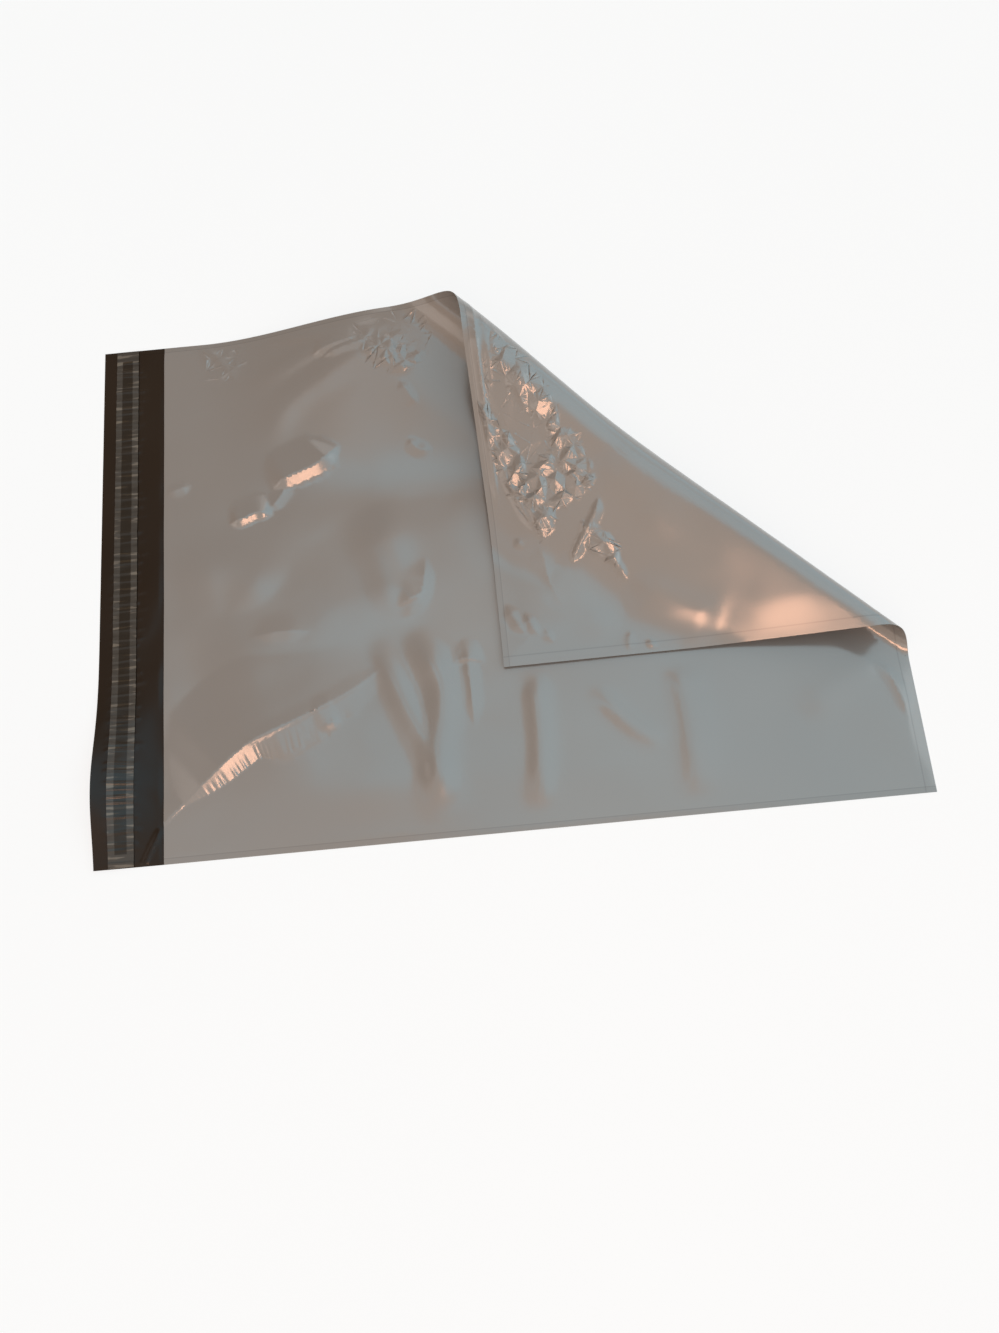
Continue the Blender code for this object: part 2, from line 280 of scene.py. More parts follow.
def smooth_line(places):
    """A curve through places, as points about LINE_STEP apart."""
    first = 2.0 * places[0] - places[1]
    last = 2.0 * places[-1] - places[-2]
    longer = np.concatenate(([first], places, [last]))
    found = [places[0]]
    for a, b, c, d in zip(longer, longer[1:], longer[2:], longer[3:]):
        count = max(int(np.hypot(*(c - b)) / LINE_STEP), 1)
        for share in np.linspace(0.0, 1.0, count + 1)[1:]:
            bow = 2.0 * b + (c - a) * share + (2.0 * a - 5.0 * b + 4.0 * c - d) * share**2
            found.append((bow + (3.0 * b - a - 3.0 * c + d) * share**3) / 2.0)
    return np.array(found)


class Crease:
    """A crease along a line of flat places. It takes the places, its height and its widths on the
    left and on the right of the line as it runs, all in millimetres. Then come the share of each
    end that fades out, the power of its side slopes, how strongly the right one ripples, and rows
    that shape it along the line."""

    def __init__(self, places, height, left, right, fade=0.3, power=1.25, ripple=0.0, shape=None):
        self.places = smooth_line(np.array(places, float) * MM)
        self.height = height * MM
        self.left = left * MM
        self.right = right * MM
        self.fade = fade
        self.power = power
        self.ripple = ripple
        self.shape = None if shape is None else np.array(shape)

    def measure(self, u, v, reach=0.030):
        """Unsigned distance, side and share of the way along, for the nearest place on the line.
        Places further than reach from its box count as far away."""
        low = self.places.min(axis=0) - reach
        high = self.places.max(axis=0) + reach
        at = np.nonzero((u > low[0]) & (u < high[0]) & (v > low[1]) & (v < high[1]))
        pu = u[at]
        pv = v[at]
        steps = np.diff(self.places, axis=0)
        lengths = np.hypot(steps[:, 0], steps[:, 1])
        starts = np.concatenate(([0.0], np.cumsum(lengths)))
        near = np.full(pu.shape, FAR_AWAY)
        near_side = np.zeros(pu.shape)
        near_share = np.zeros(pu.shape)
        for start, step, length, before in zip(self.places, steps, lengths, starts):
            du = pu - start[0]
            dv = pv - start[1]
            along = np.clip((du * step[0] + dv * step[1]) / length**2, 0.0, 1.0)
            away = np.hypot(du - along * step[0], dv - along * step[1])
            nearer = away < near
            near = np.where(nearer, away, near)
            near_side = np.where(nearer, step[0] * dv - step[1] * du, near_side)
            near_share = np.where(nearer, (before + along * length) / starts[-1], near_share)
        found = []
        for value, outside in ((near, FAR_AWAY), (near_side, 0.0), (near_share, 0.0)):
            whole = np.full(u.shape, outside)
            whole[at] = value
            found.append(whole)
        return found

    def ends(self, share):
        """0 at both ends of the line, 1 between the parts that fade out."""
        return smooth_step(share, 0.0, self.fade) * smooth_step(1.0 - share, 0.0, self.fade)

    def sizes(self, side, share):
        """Height and width along the line, from the end fades or from the shape's rows."""
        if self.shape is None:
            ends = self.ends(share)
            width = np.where(side > 0.0, self.left, self.right)
            narrowed = WIDTH_AT_FADED_END + (1.0 - WIDTH_AT_FADED_END) * ends
            return self.height * ends, width * narrowed
        rows = self.shape.T
        height = self.height * np.interp(share, rows[0], rows[1])
        left = self.left * np.interp(share, rows[0], rows[2])
        right = self.right * np.interp(share, rows[0], rows[3])
        return height, np.where(side > 0.0, left, right)

    def raised(self, u, v):
        """Height of this crease over each point, as a sharp ridge with a width for each side."""
        away, side, share = self.measure(u, v, 1.1 * max(self.left, self.right))
        height, width = self.sizes(side, share)
        if self.ripple:
            length = np.hypot(*np.diff(self.places, axis=0).T).sum()
            streaks = uneven_line(share * length / RIPPLE_LENGTH + 1.5 * away / self.right)
            low_side = smooth_step(away, 0.0, 0.6 * self.right) * (side < 0.0)
            width = width * (1.0 + self.ripple * streaks * low_side)
        return height * np.clip(1.0 - away / width, 0.0, 1.0) ** self.power


class SoftFold(Crease):
    """A rounded fold with no sharp line."""

    def raised(self, u, v):
        away, side, share = self.measure(u, v, 3.0 * max(self.left, self.right))
        width = np.where(side > 0.0, self.left, self.right)
        return self.height * self.ends(share) * np.exp(-((away / width) ** 2))


class Crumple:
    """A patch of crushed film in an outline: flat facets between random places and heights. It
    takes their spacing and greatest height in millimetres, the seed, how the spacing is stretched
    and turned, and the width of the soft rim."""

    def __init__(self, outline, spacing, height, seed, stretch=1.0, turn=0.0, soft=8.0):
        middle, extent, along, across = self.set_outline(outline, turn, soft)
        random = np.random.default_rng(seed)
        step = spacing * MM
        reach = extent * 1.3 + step
        count = int(reach / step) + 1
        places = [
            middle
            + along * (a + random.uniform(-NODE_SHIFT, NODE_SHIFT)) * step * stretch
            + across * (b + random.uniform(-NODE_SHIFT, NODE_SHIFT)) * step
            for a in range(-count, count + 1)
            for b in range(-count, count + 1)
        ]
        heights = height * MM * random.uniform(0.0, 1.0, len(places)) ** NODE_HEIGHT_POWER
        self.set_nodes(places, heights, middle, reach)

    def set_outline(self, outline, turn, soft):
        """Keeps the outline, and gives its middle, its extent and the ways along and across."""
        self.outline = Crease([*outline, outline[0]], 1.0, 1.0, 1.0)
        self.soft = soft * MM
        middle = self.outline.places.mean(axis=0)
        extent = np.abs(self.outline.places - middle).max()
        along = np.array((math.cos(turn), math.sin(turn)))
        across = np.array((-math.sin(turn), math.cos(turn)))
        return middle, extent, along, across

    def set_nodes(self, places, heights, middle, reach):
        """Keeps the places near the outline and joins them into facets."""
        places = np.array(places)
        kept = np.abs(places - middle).max(axis=1) < reach
        found = delaunay_2d_cdt([Vector(p) for p in places[kept]], [], [], 0, SAME_POINT)
        self.nodes = np.array([tuple(p) for p in found[0]])
        self.edges = found[1]
        self.triangles = np.array(found[2])
        self.heights = heights[kept][[first[0] for first in found[3]]]

    def share(self, u, v):
        """0 outside the outline, 1 well inside it."""
        corners = self.outline.places
        inside = np.zeros(u.shape, dtype=bool)
        for (au, av), (bu, bv) in zip(corners, corners[1:]):
            crosses = (av > v) != (bv > v)
            level = bv - av if bv != av else 1.0
            inside ^= crosses & (u < au + (v - av) / level * (bu - au))
        away = self.outline.measure(u, v, 0.060)[0]
        return np.where(inside, smooth_step(away, 0.0, self.soft), 0.0)

    def raised(self, u, v):
        total = np.zeros(u.shape)
        share = self.share(u, v)
        at = np.nonzero(share > 0.0)
        pu = u[at]
        pv = v[at]
        height = np.zeros(pu.shape)
        for a, b, c in self.triangles:
            (au, av), (bu, bv), (cu, cv) = self.nodes[a], self.nodes[b], self.nodes[c]
            area = (bu - au) * (cv - av) - (cu - au) * (bv - av)
            of_b = ((pu - au) * (cv - av) - (cu - au) * (pv - av)) / area
            of_c = ((bu - au) * (pv - av) - (pu - au) * (bv - av)) / area
            within = (of_b >= -1e-9) & (of_c >= -1e-9) & (of_b + of_c <= 1.0 + 1e-9)
            level = self.heights[a] * (1.0 - of_b - of_c)
            level = level + self.heights[b] * of_b + self.heights[c] * of_c
            height = np.where(within, level, height)
        total[at] = height
        return total * share

    def lines(self):
        """The facets' edges inside the outline, as pairs of flat places."""
        ends = np.array([self.nodes[list(edge)] for edge in self.edges])
        middles = ends.mean(axis=1)
        return ends[self.share(middles[:, 0], middles[:, 1]) > 0.1]


class Crush(Crumple):
    """Crushed film whose facets lie in uneven rows. Each row falls wide and evenly to one side and
    rises short and steep again. It takes the flat direction of the fall in degrees, the distance
    between rows in millimetres, the slope in degrees, the seed, the spacing along a row, the soft
    rim's width and the share of a row that falls."""

    def __init__(self, outline, fall, period, slope, seed, spacing=5.0, soft=3.0, steep=0.72):
        middle, extent, along, across = self.set_outline(outline, math.radians(fall), soft)
        random = np.random.default_rng(seed)
        row = period * MM
        step = spacing * MM
        reach = extent * 1.2 + row
        drop = row * steep * math.tan(math.radians(slope))
        places = []
        heights = []
        for a in range(-int(reach / row) - 2, int(reach / row) + 3):
            for b in range(-int(reach / step) - 2, int(reach / step) + 3):
                ridge = (a + random.uniform(-RIDGE_SHIFT, RIDGE_SHIFT)) * row
                valley = ridge + steep * row * random.uniform(*VALLEY_AFTER_RIDGE)
                for along_fall, levels in ((ridge, RIDGE_HEIGHTS), (valley, VALLEY_HEIGHTS)):
                    aside = (b + random.uniform(-ROW_NODE_SHIFT, ROW_NODE_SHIFT)) * step
                    places.append(middle + along * along_fall + across * aside)
                    heights.append(drop * random.uniform(*levels))
        self.set_nodes(places, np.array(heights), middle, reach)


# Share along the long crease, then height, left width and right width there
LONG_CREASE_SHAPE = [
    (0.0, 0.06, 0.10, 0.10),
    (0.11, 0.14, 0.30, 0.14),
    (0.20, 0.62, 0.66, 0.60),
    (0.30, 0.94, 0.92, 0.92),
    (0.45, 1.0, 1.0, 1.0),
    (0.54, 0.86, 1.0, 1.9),
    (0.72, 0.5, 0.8, 1.6),
    (1.0, 0.0, 0.5, 0.6),
]
LONG_CREASE = [(-1, 26), (10, 36), (32, 55), (61, 77), (97, 92), (130, 107), (154, 121)]

BODY_CREASES = [
    # long diagonal crease from the mouth's near end
    Crease(LONG_CREASE, 5.4, 60, 12.6, 0.2, 1.0, 0.06, LONG_CREASE_SHAPE),
    Crease([(54, 73), (97, 92), (130, 107), (156, 124)], 0.8, 10, 2.6, 0.2, 1.1, 0.2),
    Crease([(108, 82), (116, 86), (126, 88)], 1.5, 22, 6, 0.4, 1.0),
    # bent fold in the middle of the front, in two bright parts
    Crease([(48, 244), (60, 247), (70, 251), (82, 250)], 3.4, 16, 5.6, 0.25, 1.05),
    Crease([(78, 252), (86, 262), (96, 276)], 1.0, 8, 8, 0.3),
    Crease([(80, 268), (92, 276), (106, 281), (120, 287), (134, 300)], 4.6, 26, 8.4, 0.25, 1.0),
    Crease([(60, 155), (84, 157), (108, 155)], 0.7, 14, 9, 0.4),
    # curved crease close to the turned corner's edge
    Crease([(170, 158), (180, 166), (187, 175), (190, 187), (192, 206)], 1.0, 20, 9.0, 0.35, 1.4),
    # narrow tent-like fold that leaves the turned corner's near edge
    Crease([(216, 136), (217, 106), (217, 72)], 1.3, 9, 7, 0.35, 1.2),
    # a short step in each of those folds, which falls towards the near side
    Crease([(168, 168), (180, 172), (196, 181)], 1.3, 16, 2.6, 0.5, 1.0),
    Crease([(204, 121), (216, 124), (230, 121)], 1.5, 16, 3.6, 0.5, 1.0),
    # crinkles by the mouth's far end and on the far side
    Crease([(28, 398), (40, 388), (50, 374), (58, 362)], 0.9, 8, 6, 0.3),
    Crease([(36, 380), (46, 384), (56, 392)], 0.7, 5, 7, 0.3),
    Crease([(118, 370), (132, 375), (146, 378), (160, 380)], 2.0, 9, 5, 0.25),
    Crease([(124, 367), (140, 372), (158, 376), (172, 386)], 1.8, 6, 6, 0.25),
    Crease([(158, 378), (168, 386), (180, 398)], 1.8, 6, 6, 0.25),
    Crease([(168, 380), (178, 386), (188, 384), (200, 376)], 1.6, 8, 6, 0.25),
    Crease([(174, 374), (180, 366), (184, 356)], 1.8, 7, 6, 0.3),
    Crease([(170, 358), (182, 358), (196, 354)], 1.6, 7, 5, 0.3),
    Crease([(184, 342), (190, 330), (196, 322)], 0.8, 6, 8, 0.3),
    Crease([(186, 300), (192, 290), (204, 288)], 0.9, 7, 7, 0.3),
    Crease([(0, 273), (10, 277), (22, 280)], 0.8, 6, 8, 0.35),
    # seam side folds that fan out from the end of the roll
    SoftFold([(75, 396), (130, 388), (190, 392), (215, 398)], 1.6, 6, 6, 0.3),
    SoftFold([(60, 350), (100, 368), (150, 386), (200, 396)], 2.0, 9, 9, 0.3),
    SoftFold([(78, 300), (90, 330), (120, 352), (190, 382)], 1.8, 12, 12, 0.3),
    # soft folds down the near side
    SoftFold([(176, 150), (196, 108), (192, 60), (186, 4)], 3.2, 11, 11, 0.25),
    SoftFold([(150, 150), (172, 90), (206, 10)], 2.2, 9, 9, 0.3),
    SoftFold([(262, 112), (262, 60), (256, 4)], 2.4, 8, 8, 0.2),
    SoftFold([(362, 110), (366, 60), (362, 4)], 2.2, 16, 8, 0.2),
    SoftFold([(300, 96), (330, 62), (352, 52)], 1.6, 7, 7, 0.35),
    SoftFold([(150, 250), (166, 200), (170, 150)], 1.8, 18, 18, 0.35),
    SoftFold([(4, 200), (50, 206), (90, 180)], 1.6, 24, 24, 0.35),
    SoftFold([(20, 130), (80, 150), (150, 200)], 1.2, 30, 30, 0.3),
    # curled corner of the bottom, by the roll's end
    Crease([(498, 96), (508, 84), (514, 66), (516, 50)], 1.6, 8, 7, 0.3),
    SoftFold([(440, 60), (480, 84), (510, 96)], 1.6, 12, 12, 0.3),
]

CORNER_CREASES = [
    # left boundary of the crumpled patch
    Crease(
        [(330, 394), (360, 388), (384, 383), (400, 378), (422, 369), (434, 366)], 1.4, 6, 4, 0.2
    ),
    Crease([(432, 366), (464, 361), (490, 353)], 1.0, 12, 12, 0.3),
    # thin lines off the patch
    Crease([(402, 373), (414, 367), (430, 359)], 1.4, 5, 4, 0.3),
    Crease([(404, 366), (418, 358), (432, 354)], 1.4, 4, 4, 0.3),
    # forked crease
    Crease([(408, 317), (420, 322), (432, 330), (444, 338), (456, 345)], 2.2, 4, 6.0, 0.22, 1.05),
    Crease([(430, 329), (440, 320), (452, 314), (472, 305)], 1.5, 5, 4, 0.2, 1.05),
    # small marks
    Crease([(430, 382), (440, 377)], 0.7, 5, 5, 0.45),
    Crease([(445, 344), (453, 338)], 0.7, 5, 5, 0.45),
    Crease([(516, 300), (522, 290)], 1.2, 5, 4, 0.45),
    Crease([(506, 308), (524, 312)], 0.8, 5, 7, 0.4),
    Crease([(478, 395), (492, 388), (504, 382)], 0.9, 8, 6, 0.35),
    Crease([(486, 382), (506, 373)], 0.8, 7, 5, 0.4),
    Crease([(500, 369), (512, 363)], 0.6, 6, 5, 0.4),
    # folds along the seam edge of the corner
    Crease([(236, 391), (290, 391), (350, 391), (410, 392)], 1.9, 6, 3.5, 0.2),
    Crease([(262, 386), (300, 384), (340, 386)], 0.9, 5, 4, 0.3),
    # wide soft waves over the rest of the corner
    SoftFold([(380, 320), (408, 290), (428, 279), (450, 286)], 1.8, 14, 20, 0.3),
    SoftFold([(470, 306), (490, 280), (510, 240)], 2.0, 22, 14, 0.3),
    SoftFold([(450, 360), (490, 335), (515, 320)], 1.8, 16, 16, 0.3),
    SoftFold([(300, 350), (340, 310), (400, 260)], 1.0, 26, 26, 0.3),
]

LIP_CREASES = [
    Crease([(-14, -2), (-8, 12), (-1, 25)], 1.0, 4, 2.5, 0.12),
]


# Outlines of the crushed zones, in flat millimetres: the whole patch on the turned corner, the
# zones inside it whose facets lean one way, and the zones by the forked crease and the far side
PATCH_OUTLINE = [
    (288, 384), (292, 372), (322, 358), (346, 338), (376, 324), (398, 320), (408, 346), (432, 362),
    (412, 378), (372, 388), (330, 392),
]
LEFT_STRIP = [
    (328, 398), (344, 383), (360, 373), (378, 366), (396, 367), (407, 376), (386, 387), (358, 393),
]
TOP_STRIP = [
    (274, 386), (290, 373), (306, 360), (322, 348), (340, 340), (358, 339), (354, 354), (340, 366),
    (322, 376), (300, 383),
]
RIGHT_STRIP = [
    (350, 349), (358, 332), (374, 324), (394, 317), (403, 325), (391, 341), (376, 345), (362, 350),
]
LOW_BAND = [
    (370, 343), (382, 346), (390, 338), (394, 321), (408, 327), (413, 348), (410, 364), (400, 378),
    (386, 369), (374, 358),
]
FORK_PATCH = [(424, 333), (432, 318), (446, 309), (460, 311), (452, 325), (438, 336)]
LOW_POINT = [(400, 364), (410, 353), (420, 350), (434, 358), (438, 364), (420, 368), (406, 372)]
FAR_PATCH = [(150, 392), (206, 394), (206, 352), (176, 346), (156, 368)]
FAR_ROWS = [(166, 370), (182, 386), (200, 384), (206, 360), (192, 348), (172, 354)]
MOUTH_PATCH = [(24, 398), (62, 398), (60, 366), (34, 366)]

CORNER_CRUMPLES = [
    Crumple(PATCH_OUTLINE, 10.0, 1.0, 32, 1.5, -0.6),
    Crush(LEFT_STRIP, -48, 15, 16.0, 61, 5.0, 4.0),
    Crush(TOP_STRIP, -50, 13, 11.5, 62, 7.0, 4.0),
    Crush(RIGHT_STRIP, -31, 12, 16.0, 63, 7.0, 4.0),
    Crush(LOW_BAND, -37, 13, 16.0, 64, 7.0, 4.0),
    Crush(LOW_POINT, -41, 13, 15.5, 65, 6.0, 4.0),
    Crush(FORK_PATCH, -36, 14, 13.0, 66, 9.0, 3.0),
]
BODY_CRUMPLES = [
    Crumple(FAR_PATCH, 9.0, 2.6, 41, 1.5, 0.6),
    Crumple(MOUTH_PATCH, 8.0, 1.0, 42, 1.3, 0.8),
    Crush(FAR_ROWS, -79, 9, 31, 45, 6.0, 5.0),
]


def waves(u, v, length, seed, count=7):
    """Smooth rolling unevenness between 0 and 1, with waves of about the given length."""
    random = np.random.default_rng(seed)
    total = np.zeros(np.shape(u))
    for index in range(count):
        angle = random.uniform(0.0, 2.0 * math.pi)
        size = length * random.uniform(0.7, 1.5)
        phase = random.uniform(0.0, 2.0 * math.pi)
        total += np.sin((u * math.cos(angle) + v * math.sin(angle)) * 2.0 * math.pi / size + phase)
    return 0.5 + 0.5 * np.tanh(total / math.sqrt(count))


def rolling(rows, u, v):
    """The height of several slow waves together."""
    return sum(height * waves(u, v, length, seed) for height, length, seed in rows)


def raised(creases, u, v):
    """The height of several creases together; where they cross, the higher one leads."""
    total = np.zeros(np.shape(u))
    for crease in creases:
        height = crease.raised(u, v)
        total = np.maximum(total, height) + SHARE_OF_LOWER_CREASE * np.minimum(total, height)
    return total


def edge_ease(u, v, depth, near_depth):
    """0 on the welds and the bottom fold, 1 further in than depth. The near seam has its own."""
    from_edge = np.minimum(BODY_WIDTH - v, BODY_LENGTH - u)
    return smooth_step(from_edge, 0.0, depth) * smooth_step(v, 0.0, near_depth)


def front_height(u, v):
    """How far the front panel stands off the back panel, by its wrinkles."""
    distance = from_roll_start(u, v)[1]
    open_front = 1.0 - smooth_step(distance, -2.0, -0.2)
    low = rolling(FRONT_WAVES, u, v)
    low = low + raised([c for c in BODY_CREASES if isinstance(c, SoftFold)], u, v)
    sharp = raised([c for c in BODY_CREASES if not isinstance(c, SoftFold)] + BODY_CRUMPLES, u, v)
    sharp = sharp * edge_ease(u, v, *FRONT_SHARP_EASE)
    low = low * edge_ease(u, v, *FRONT_SOFT_EASE)
    return (sharp + low) * open_front


def corner_height(u, v):
    """How far the back panel's outer face is raised, on the turned corner alone."""
    distance = from_roll_start(u, v)[1]
    turned = smooth_step(distance, 1.5, 3.6)
    low = rolling(CORNER_WAVES, u, v) * edge_ease(u, v, *CORNER_SOFT_EASE)
    sharp = raised(CORNER_CREASES + CORNER_CRUMPLES, u, v) * edge_ease(u, v, *CORNER_SHARP_EASE)
    return (sharp + low) * turned


def rungs(random):
    """The fine puckers that run across the liner: place, height, width, reach past it and lean."""
    found = []
    place = FIRST_RUNG
    while place < LAST_RUNG:
        height = random.uniform(*RUNG_HEIGHTS) * MM
        width = random.uniform(*RUNG_WIDTHS) * MM
        past = random.uniform(*RUNG_PAST_LINER)
        lean = random.uniform(-1.0, 1.0) * RUNG_LEAN
        found.append((place, height, width, past, lean))
        place += random.choice(RUNG_SPACINGS) * random.uniform(0.8, 1.2)
    return found


RUNGS = rungs(np.random.default_rng(RUNG_SEED))


def lip_height(u, v):
    """Puckers of the lip, which its strips follow."""
    total = np.zeros(np.shape(u))
    inner_edge = LINER_OUTER_EDGE + LINER_WIDTH
    for place, height, width, past, lean in RUNGS:
        across = (v - place - lean * (u - LINER_OUTER_EDGE)) / width
        reach = smooth_step(u, LINER_OUTER_EDGE - 0.004, LINER_OUTER_EDGE)
        reach = reach * (1.0 - smooth_step(u, inner_edge + 0.3 * past, inner_edge + past))
        total += height * np.exp(-across * across) * reach
    total += rolling(LIP_WAVES, u, v) * smooth_step(u, -0.050, -0.040)
    total += raised(LIP_CREASES, u, v)
    by_mouth = 1.0 - smooth_step(u, -0.004, -0.0005)
    by_seam = smooth_step(np.minimum(v, BODY_WIDTH - v), 0.0, 0.002)
    return total * by_mouth * by_seam


def on_sheet(place, low_u, high_u, margin=0.001):
    """Whether a flat place lies on the sheet and off its rim."""
    inside = low_u + margin < place[0] < high_u - margin
    return inside and margin < place[1] < BODY_WIDTH - margin


def graded_points(low_u, high_u, creases, crumples, fine_everywhere, random):
    """Flat places close together by the creases and further apart elsewhere, and the crease lines
    between them as pairs of places."""
    cells = 2**COARSEST_LEVEL
    count_u = cells * int(round((high_u - low_u) / FINE_STEP / cells))
    count_v = cells * int(round(BODY_WIDTH / FINE_STEP / cells))
    index_u, index_v = np.meshgrid(np.arange(count_u + 1), np.arange(count_v + 1), indexing="ij")
    step_u = (high_u - low_u) / count_u
    step_v = BODY_WIDTH / count_v
    u = low_u + index_u * step_u
    v = index_v * step_v
    nearest = np.full(u.shape, FAR_AWAY)
    for crease in creases:
        if not isinstance(crease, SoftFold):
            nearest = np.minimum(nearest, crease.measure(u, v)[0])
    for crumple in crumples:
        nearest = np.where(crumple.share(u, v) > 0.0, np.minimum(nearest, FINE_REACH), nearest)
    spacing = STEP_AT_CREASE + STEP_GROWTH * np.maximum(nearest - FINE_REACH, 0.0)
    spacing = np.minimum(spacing, fine_everywhere(u, v))
    level = np.clip(np.floor(np.log2(spacing / FINE_STEP)), 0, COARSEST_LEVEL).astype(int)
    size = 2**level
    keep = (index_u % size == 0) & (index_v % size == 0)
    inside = (index_u > 0) & (index_u < count_u) & (index_v > 0) & (index_v < count_v)
    keep &= (nearest > FREE_STRIP) | ~inside
    shift = random.uniform(-GRID_SHIFT, GRID_SHIFT, size=(2, *u.shape)) * size * inside
    u = u + shift[0] * step_u
    v = v + shift[1] * step_v
    points = list(zip(u[keep].tolist(), v[keep].tolist()))
    edges = []
    for crease in creases:
        if isinstance(crease, SoftFold):
            continue
        steps = np.diff(crease.places, axis=0)
        line = [crease.places[0]]
        for start, step in zip(crease.places, steps):
            count = max(int(np.hypot(*step) / STEP_ON_CREASE), 1)
            line += [start + step * share for share in np.linspace(0.0, 1.0, count + 1)[1:]]
        line = [p for p in line if on_sheet(p, low_u, high_u)]
        first = len(points)
        points += [tuple(p) for p in line]
        edges += [(first + at, first + at + 1) for at in range(len(line) - 1)]
    for crumple in crumples:
        for start, end in crumple.lines():
            if on_sheet(start, low_u, high_u) and on_sheet(end, low_u, high_u):
                edges.append((len(points), len(points) + 1))
                points += [tuple(start), tuple(end)]
    return points, edges


def flat_mesh(low_u, high_u, creases, crumples, fine_everywhere, seed):
    """Places and triangles of a flat sheet, with an edge along every crease."""
    random = np.random.default_rng(seed)
    points, edges = graded_points(low_u, high_u, creases, crumples, fine_everywhere, random)
    found = delaunay_2d_cdt([Vector(p) for p in points], edges, [], 0, SAME_POINT)
    places = np.array([tuple(p) for p in found[0]])
    triangles = np.array(found[2])
    return places[:, 0], places[:, 1], triangles


def add_object(name, data):
    thing = bpy.data.objects.new(name, data)
    bpy.context.scene.collection.objects.link(thing)
    return thing


def closed_sheet(name, u, v, triangles, under, over, materials):
    """A thin closed sheet with its own under and upper heights, bent into place."""
    count = len(u)
    low = bend_points(u, v, under)
    high = bend_points(u, v, over)
    sides = np.concatenate([triangles[:, (0, 1)], triangles[:, (1, 2)], triangles[:, (2, 0)]])
    keys = np.sort(sides, axis=1)
    keys = keys[:, 0] * count + keys[:, 1]
    first, times = np.unique(keys, return_index=True, return_counts=True)[1:]
    rim = sides[first[times == 1]]
    faces = [tuple(t) for t in (triangles + count).tolist()]
    faces += [tuple(t) for t in triangles[:, ::-1].tolist()]
    faces += [(a, b, b + count, a + count) for a, b in rim.tolist()]
    mesh = bpy.data.meshes.new(name)
    mesh.from_pydata(np.concatenate([low, high]).tolist(), [], faces)
    for material in materials:
        mesh.materials.append(material)
    corners = np.zeros(len(mesh.loops), dtype=np.int32)
    mesh.loops.foreach_get("vertex_index", corners)
    flat_place = np.stack((u, v), axis=-1)[corners % count]
    mesh.uv_layers.new(name="flat").data.foreach_set("uv", flat_place.ravel())
    mesh.shade_smooth()
    mesh.set_sharp_from_angle(angle=SHARP_ANGLE)
    return add_object(name, mesh)


def paint(piece, start, end, index):
    """Gives a run of faces another of the piece's materials."""
    indices = np.zeros(len(piece.data.polygons), dtype=np.int32)
    piece.data.polygons.foreach_get("material_index", indices)
    indices[start:end] = index
    piece.data.polygons.foreach_set("material_index", indices)


# Materials


def new_material(name):
    material = bpy.data.materials.new(name)
    material.use_nodes = True
    nodes = material.node_tree.nodes
    nodes.clear()
    output = nodes.new("ShaderNodeOutputMaterial")
    shader = nodes.new("ShaderNodeBsdfPrincipled")
    material.node_tree.links.new(shader.outputs[0], output.inputs[0])
    place = nodes.new("ShaderNodeTexCoord")
    return material, nodes, material.node_tree.links, shader, place.outputs["UV"]


def noise(nodes, links, place, scale, detail=3.0):
    node = nodes.new("ShaderNodeTexNoise")
    node.inputs["Scale"].default_value = scale
    node.inputs["Detail"].default_value = detail
    links.new(place, node.inputs["Vector"])
    return node.outputs["Fac"]


def ramp(nodes, links, value, stops):
    node = nodes.new("ShaderNodeValToRGB")
    while len(node.color_ramp.elements) < len(stops):
        node.color_ramp.elements.new(0.5)
    for element, (place, colour) in zip(node.color_ramp.elements, stops):
        element.position = place
        element.color = (*colour, 1.0)
    links.new(value, node.inputs["Fac"])
    return node.outputs["Color"]


def spread(nodes, links, value, low, high, lowest, highest):
    node = nodes.new("ShaderNodeMapRange")
    node.inputs["From Min"].default_value = low
    node.inputs["From Max"].default_value = high
    node.inputs["To Min"].default_value = lowest
    node.inputs["To Max"].default_value = highest
    links.new(value, node.inputs["Value"])
    return node.outputs["Result"]


def bump(nodes, links, value, distance, strength, under=None):
    node = nodes.new("ShaderNodeBump")
    node.inputs["Distance"].default_value = distance
    node.inputs["Strength"].default_value = strength
    links.new(value, node.inputs["Height"])
    if under is not None:
        links.new(under, node.inputs["Normal"])
    return node.outputs["Normal"]


def calculate(nodes, links, kind, first, second):
    """A Math node of two values, each a socket or a number."""
    node = nodes.new("ShaderNodeMath")
    node.operation = kind
    for socket, value in zip(node.inputs, (first, second)):
        if isinstance(value, (int, float)):
            socket.default_value = value
        else:
            links.new(value, socket)
    return node.outputs[0]


def multiply_colour(nodes, links, first, second):
    mix = nodes.new("ShaderNodeMix")
    mix.data_type = "RGBA"
    mix.blend_type = "MULTIPLY"
    mix.inputs["Factor"].default_value = 1.0
    links.new(first, mix.inputs["A"])
    links.new(second, mix.inputs["B"])
    return mix.outputs["Result"]


def grey_stops(*stops):
    """Stops of a ramp, from pairs of a place and a grey level."""
    return [(place, (level, level, level)) for place, level in stops]


def from_nearer_seam(nodes, links, v):
    """Distance of a flat place from the nearer side seam."""
    from_far = calculate(nodes, links, "SUBTRACT", BODY_WIDTH, v)
    return calculate(nodes, links, "MINIMUM", v, from_far)


def plain_white(nodes, kind):
    """A white Emission or Background of strength 1."""
    node = nodes.new(kind)
    node.inputs["Color"].default_value = (1.0, 1.0, 1.0, 1.0)
    node.inputs["Strength"].default_value = 1.0
    return node.outputs[0]


def mix_shaders(nodes, links, share, first, second, output):
    mix = nodes.new("ShaderNodeMixShader")
    for socket, source in zip(mix.inputs, (share, first, second)):
        links.new(source, socket)
    links.new(mix.outputs[0], output)


